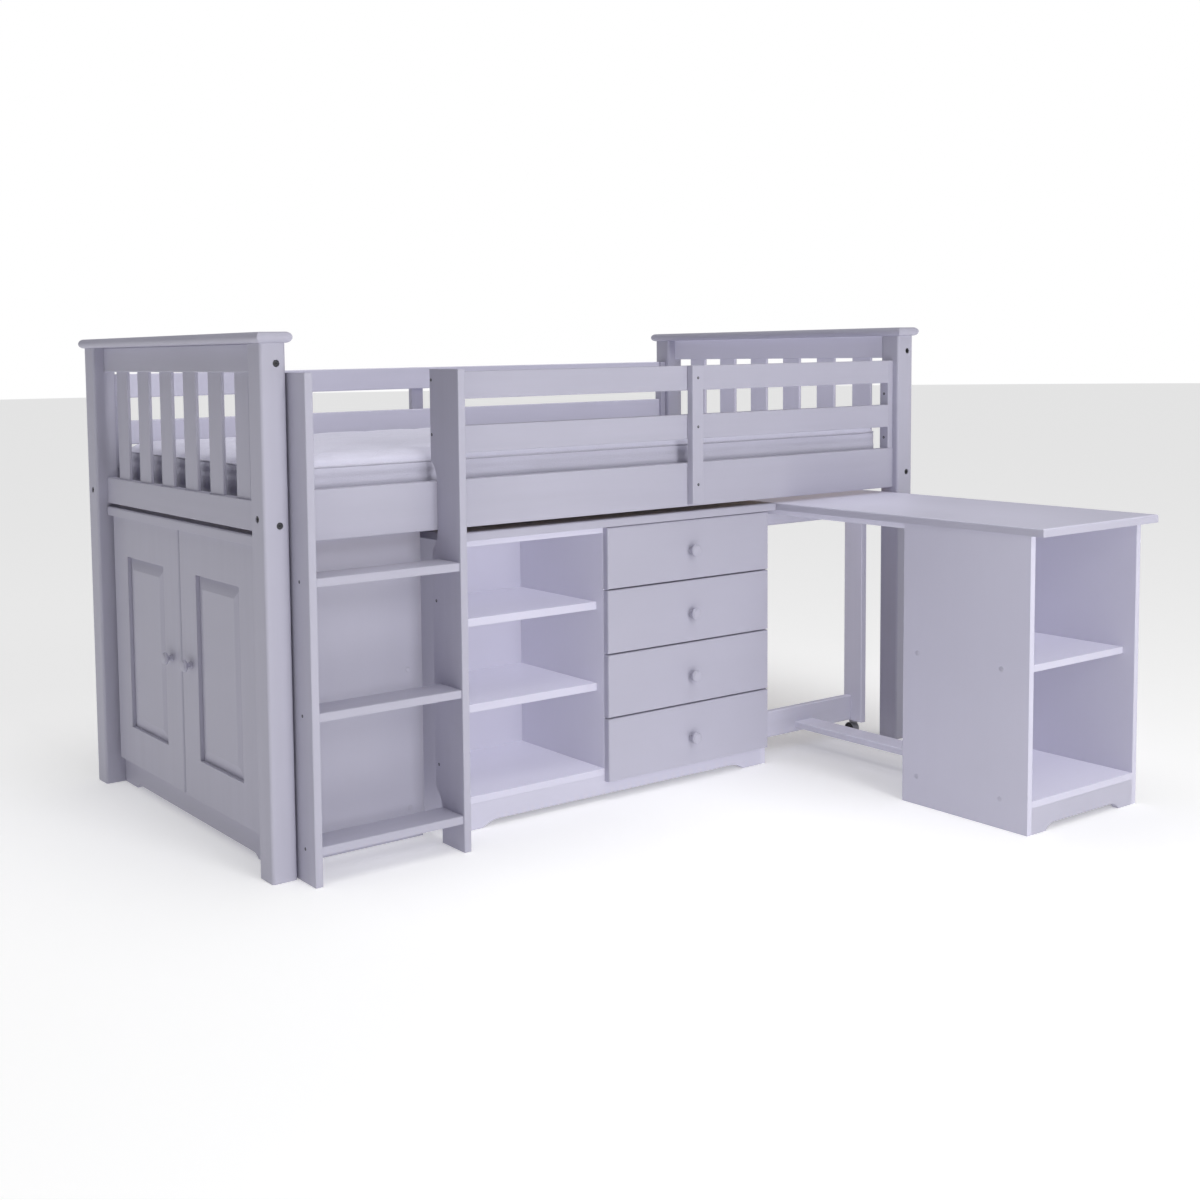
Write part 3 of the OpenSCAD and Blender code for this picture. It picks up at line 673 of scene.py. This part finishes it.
def quilt(mesh, low, high):
    """Presses a diamond of valleys into the top and bottom panels, and two stitched lines round the
    border. Returns how far each point belongs to a panel, from 0 to 1."""
    place, facing = coordinates(mesh), normals(mesh)
    flatness = np.abs(facing[:, 2])
    lying = np.clip((flatness - 0.75) / 0.2, 0, 1)
    standing = np.clip((0.6 - flatness) / 0.3, 0, 1)
    across = distance_to_lines(place[:, 0] + place[:, 1], QUILT) / math.sqrt(2)
    along = distance_to_lines(place[:, 0] - place[:, 1], QUILT) / math.sqrt(2)
    near = np.minimum(across, along)
    puff = PUFF * np.sqrt(np.clip(near / (QUILT / 5), 0, 1)) - PUFF
    from_centre = np.abs(place[:, 2] - (low.z + high.z) / 2)
    border = valley(np.abs(from_centre - LINE_OFFSET), LINE_WIDTH) * LINE_DEPTH
    place += facing * (puff * lying - border * standing)[:, None]
    place[:, 2] = np.clip(place[:, 2], low.z + 0.3 * MM, high.z + 4 * MM)
    place[:, 0] = np.clip(place[:, 0], low.x, high.x)
    place[:, 1] = np.clip(place[:, 1], low.y, high.y)
    put_coordinates(mesh, place)
    return lying


def corner_arcs(tree, low, high, z):
    """Points on the border at height z, round its four corners."""
    half = (high - low) / 2
    path = []
    for side_x, side_y, start in QUARTERS:
        pivot = Vector((side_x * (half.x - TAPE_CORNER), side_y * (half.y - TAPE_CORNER), 0))
        pivot += (low + high) / 2
        for angle in quarter_turn(start, 12):
            outward = Vector((math.cos(angle), math.sin(angle), 0))
            source = Vector((pivot.x, pivot.y, z)) + outward * 0.2
            hit, _, _, _ = tree.ray_cast(source, -outward)
            path.append(hit if hit else source - outward * 0.155)
    return path


def add_tape(name, z, tree, low, high, tape):
    """Tape edge: a tube that follows the border at height z."""
    path = with_straights(corner_arcs(tree, low, high, z), tree, (low + high) / 2, z)
    piece = new_piece(name, tube(path, TAPE_RADIUS, 10), "base", tape)
    return piece


def add_mattress(knit, tape):
    """A quilted mattress with taped edges, in place of the plain CAD solid. Returns its pieces."""
    low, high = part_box("mattress")
    mattress = add_blank(low, high, knit)
    mesh = mattress.data
    lying = quilt(mesh, low, high)
    panel = mesh.attributes.new("panel", "FLOAT", "POINT")
    panel.data.foreach_set("value", lying.astype(np.float32))
    mesh.materials.clear()
    mesh.materials.append(knit)
    for face in mesh.polygons:
        face.use_smooth = True
    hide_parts("mattress")

    faces = [tuple(face.vertices) for face in mesh.polygons]
    tree = BVHTree.FromPolygons([tuple(spot) for spot in coordinates(mesh)], faces)
    top = add_tape("mattress_tape_top", high.z - TAPE_DROP, tree, low, high, tape)
    bottom = add_tape("mattress_tape_bottom", low.z + TAPE_DROP, tree, low, high, tape)
    return [mattress, top, bottom]


def with_straights(path, tree, centre, z):
    """Adds points along the four straight sides between the corner arcs, each on the mesh."""
    full = []
    quarter = len(path) // 4
    for side in range(4):
        arc = path[side * quarter:(side + 1) * quarter]
        following = path[(side + 1) % 4 * quarter]
        full += arc
        start, end = arc[-1], following
        count = max(2, int((end - start).length / TAPE_STEP))
        for k in range(1, count):
            spot = start.lerp(end, k / count)
            if abs(end.x - start.x) < abs(end.y - start.y):
                outward = Vector((spot.x - centre.x, 0, 0))
            else:
                outward = Vector((0, spot.y - centre.y, 0))
            outward.normalize()
            source = Vector((spot.x, spot.y, z)) + outward * 0.1
            hit, _, _, _ = tree.ray_cast(source, -outward)
            full.append(hit if hit and (hit - spot).length < TAPE_REACH else spot)
    return full


def tube(path, radius, sides):
    """A closed tube round a closed path that lies level."""
    bm = bmesh.new()
    rings = []
    count = len(path)
    for k, spot in enumerate(path):
        ahead = (path[(k + 1) % count] - path[k - 1]).normalized()
        outward = ahead.cross(Z).normalized()
        ring = []
        for j in range(sides):
            angle = 2 * math.pi * j / sides
            ring.append(bm.verts.new(spot + (outward * math.cos(angle) + Z * math.sin(angle)) * radius))
        rings.append(ring)
    for k in range(count):
        a, b = rings[k], rings[(k + 1) % count]
        for j in range(sides):
            bm.faces.new((a[j], a[(j + 1) % sides], b[(j + 1) % sides], b[j]))
    return bm


# ---------------------------------------------------------------- castors

TYRE = [(0.4, 2.0), (3.4, 2.2), (3.8, 3.0), (9.0, 2.6), (9.4, 3.6), (11.8, 3.9), (13.4, 3.0),
        (13.95, 1.2), (13.95, -1.2), (13.4, -3.0), (11.8, -3.9), (4.0, -3.9), (0.4, -3.9)]
PLATE = [(0.3, 0), (14, 0), (14.8, -0.5), (15, -1.4), (14.6, -3.0), (9, -3.2), (6.5, -5.5), (0.3, -6)]
PIN = [(0.3, 0), (2.1, 0), (2.5, 0.5), (2.5, 24.3), (2.1, 24.8), (0.3, 24.8)]
PIN_HALF = 12.4 * MM
STEM_TRAIL = 9 * MM
HOOD_ARC = [math.radians(a) for a in range(-15, 196, 15)]
HOOD_INNER, HOOD_OUTER, HOOD_HALF = 15 * MM, 17 * MM, 11.6 * MM
WEB_REACH, WEB_DROP, WEB_HALF = 15.5, -5 * MM, 2.6 * MM


def in_metres(profile):
    """A turned profile given in millimetres."""
    return [(radius * MM, height * MM) for radius, height in profile]


def add_wheels(side, wheels, tyre):
    """Two wheels with round treads, facing outward."""
    centre_x = middle(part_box(f"castor_{side}_wheels"), 0)
    spots = []
    for low, high in wheels:
        centre = (low + high) / 2
        spots.append((centre, X * (1 if centre.x > centre_x else -1)))
    name, body = f"castor_{side}_tyres", f"castor_{side}_roll"
    roll = turned_group(name, in_metres(TYRE), spots, body, tyre)
    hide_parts(f"castor_{side}_wheels")


def hood_shell(bm, axle):
    """The curved hood over both wheels."""
    section = ((HOOD_INNER, -HOOD_HALF), (HOOD_OUTER, -HOOD_HALF + 1 * MM),
               (HOOD_OUTER, HOOD_HALF - 1 * MM), (HOOD_INNER, HOOD_HALF))
    rings = []
    for angle in HOOD_ARC:
        along = Vector((0, math.cos(angle), math.sin(angle)))
        rings.append([bm.verts.new(axle + along * r + X * x) for r, x in section])
    for a, b in zip(rings, rings[1:]):
        for k in range(4):
            bm.faces.new((a[k], a[(k + 1) % 4], b[(k + 1) % 4], b[k]))
    bm.faces.new(rings[0])
    bm.faces.new(rings[-1])


def hood_web(bm, axle):
    """The web between the wheels, from the hood down past the axle."""
    web = []
    for angle in HOOD_ARC:
        along = Vector((0, math.cos(angle), math.sin(angle)))
        web.append([bm.verts.new(axle + along * WEB_REACH * MM + X * x) for x in (-WEB_HALF, WEB_HALF)])
    hub = [bm.verts.new(axle + Vector((x, 0, WEB_DROP))) for x in (-WEB_HALF, WEB_HALF)]
    for a, b in zip(web, web[1:]):
        bm.faces.new((a[0], b[0], hub[0]))
        bm.faces.new((a[1], b[1], hub[1]))
        bm.faces.new((a[0], a[1], b[1], b[0]))
    for end in (web[0], web[-1]):
        bm.faces.new((end[0], end[1], hub[1], hub[0]))


def add_castor(side, tyre, housing, steel):
    """A twin-wheel castor: the wheels, a hooded stem on a round plate, and the axle pin."""
    wheels = solids(f"castor_{side}_wheels")
    add_wheels(side, wheels, tyre)

    low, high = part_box(f"castor_{side}_fork")
    axle = (wheels[0][0] + wheels[0][1]) / 2
    axle.x = (low.x + high.x) / 2
    stem = Vector((axle.x, axle.y - STEM_TRAIL, high.z))
    bm = bmesh.new()
    turned(bm, in_metres(PLATE), stem, Z)
    hood_shell(bm, axle)
    hood_web(bm, axle)
    hood = new_piece(f"castor_{side}_hood", bm, f"castor_{side}", housing)
    flat_shaded_by_angle(hood)
    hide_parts(f"castor_{side}_fork")

    pin_spots = [(axle - X * PIN_HALF, X)]
    turned_group(f"castor_{side}_axle", in_metres(PIN), pin_spots, f"castor_{side}", steel)


# ---------------------------------------------------------------- finishes of the CAD parts

GRAIN = {"X": 0, "Y": 1, "Z": 2}
PAINTED_WOOD = {
    "X": ["side_rail_front", "side_rail_back", "guard_boards_front", "guard_boards_back",
          "ladder_treads", "desk_rails"],
    "Y": ["cap_left", "cap_right", "end_rails_left", "end_rails_right"],
    "Z": ["posts_left", "posts_right", "end_slats_left", "end_slats_right", "guard_uprights",
          "ladder_stile_left", "ladder_stile_right", "door_front_frame", "door_back_frame", "desk_legs",
          "door_front_knob", "door_back_knob"],
}
PAINTED_BOARD = {
    "X": ["chest_top", "chest_shelves", "chest_plinth", "chest_back", "pedestal_shelves", "pedestal_plinth",
          "drawer_1_front", "drawer_2_front", "drawer_3_front", "drawer_4_front"],
    "Y": ["cupboard_top", "cupboard_shelves", "cupboard_plinth", "desk_top"],
    "Z": ["cupboard_sides", "cupboard_back", "door_front_panel", "door_back_panel", "chest_uprights",
          "pedestal_sides", "pedestal_back"],
}
BARE = {
    "X": ["slat_ledges"],
    "Y": ["bed_slats", "drawer_runners", "drawer_1_box", "drawer_2_box", "drawer_3_box", "drawer_4_box"],
}


def finish_nodes(names, material):
    for name in names:
        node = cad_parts[name]
        node.data.materials.clear()
        node.data.materials.append(material)


def finish_frame(steel):
    for letter, names in PAINTED_WOOD.items():
        finish_nodes(names, painted(f"painted_wood_{letter.lower()}", GRAIN[letter], 1.0))
    for letter, names in PAINTED_BOARD.items():
        finish_nodes(names, painted(f"painted_board_{letter.lower()}", GRAIN[letter], 0.25))
    for letter, names in BARE.items():
        finish_nodes(names, bare_pine(f"bare_pine_{letter.lower()}", GRAIN[letter]))
    finish_nodes(["barrel_nuts", "hinge_arms", "hinge_cups_front", "hinge_cups_back"], steel)


# ---------------------------------------------------------------- the scene

add_camera()
add_studio()
zinc = metal("bright_zinc", (0.72, 0.72, 0.74), 0.32)
dark_zinc = metal("dark_zinc", (0.07, 0.07, 0.075), 0.4)
screw_steel = metal("screw_steel", (0.07, 0.07, 0.075), 0.36)
finish_frame(zinc)
add_screws(screw_steel, painted("painted_caps", 2, 0.1, tint(PAINT, 0.97)))
add_bolts(dark_zinc)
knit = quilted_knit("mattress_knit", (0.56, 0.55, 0.66, 1))
tape = woven_tape("mattress_tape", (0.52, 0.51, 0.61, 1))
add_fills(add_mattress(knit, tape))
tyre = moulded("castor_tyre", (0.02, 0.02, 0.022), 0.55)
housing = moulded("castor_housing", (0.36, 0.36, 0.38), 0.4)
for side in ("left", "right"):
    add_castor(side, tyre, housing, zinc)
